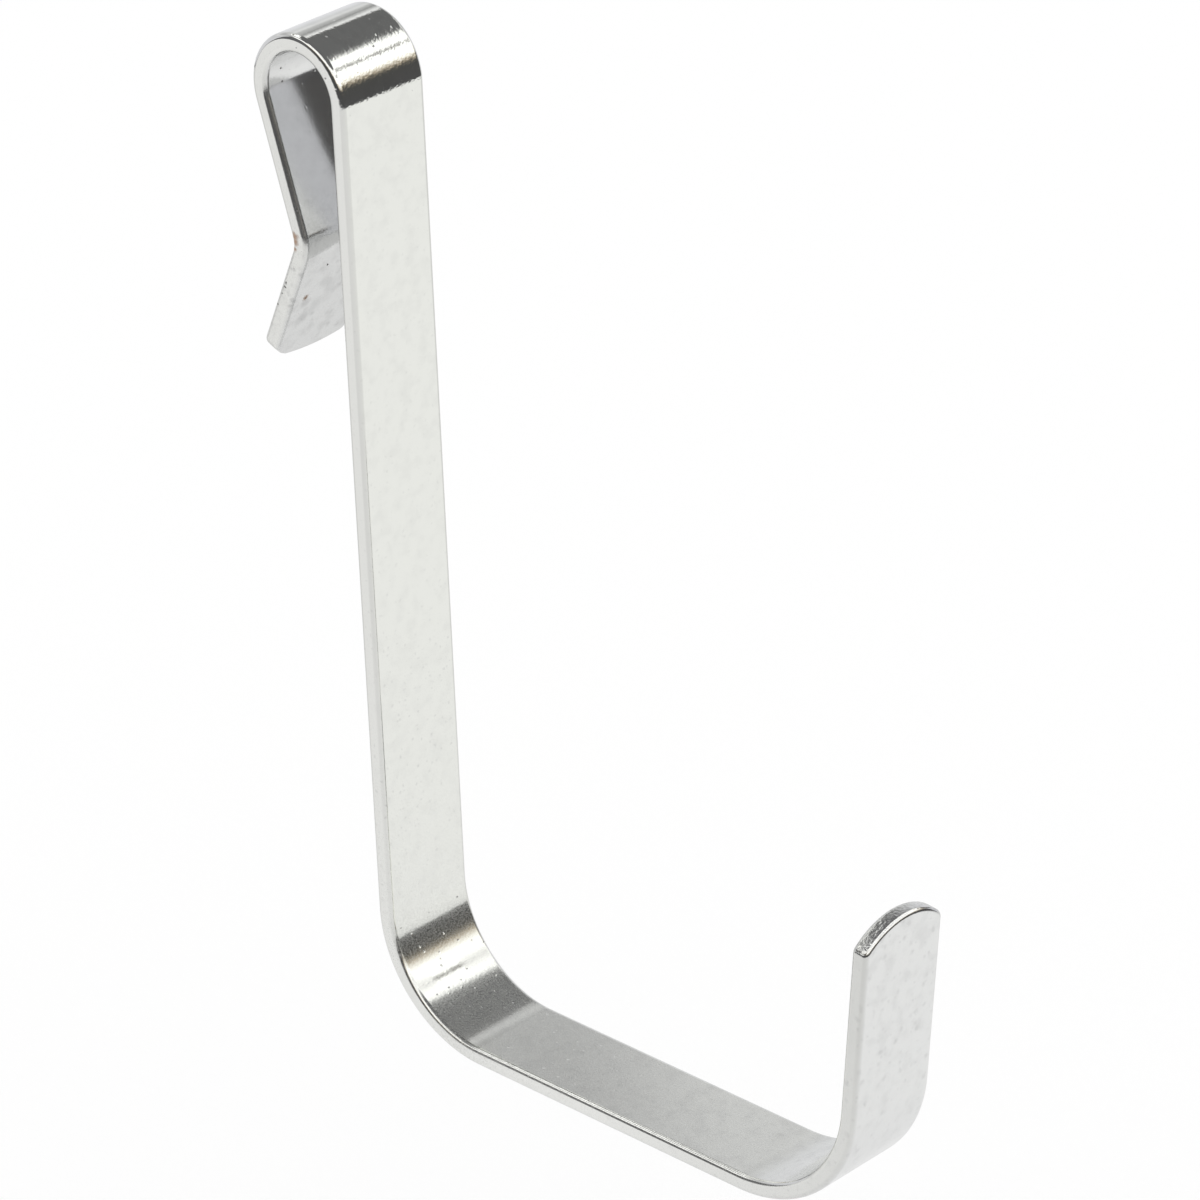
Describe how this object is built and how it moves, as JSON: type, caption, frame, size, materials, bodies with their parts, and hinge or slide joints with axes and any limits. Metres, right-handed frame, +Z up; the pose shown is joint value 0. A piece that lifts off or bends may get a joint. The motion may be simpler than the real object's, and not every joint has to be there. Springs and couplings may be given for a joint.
{
  "type": "wire shelving hook",
  "caption": "Bent strip hook with a spring clip that snaps over a wire shelf's rim, a long shank and an upturned tip to hang things from.",
  "frame": {"origin": "centre of the clip's round seat, where the shelf's rim wire sits, midway across the strip", "axes": "+X the way the hook reaches out from the shank, +Y along the rim wire, across the strip, +Z up along the shank"},
  "size_m": [0.0916, 0.0126, 0.1247],
  "materials": {
    "plated_steel": "bright plated steel, mirror-like, with fine mottling, a few handling marks and rust specks at the clip"
  },
  "bodies": {
    "root": {"shelf_hook": "plated_steel"}
  },
  "joints": []
}
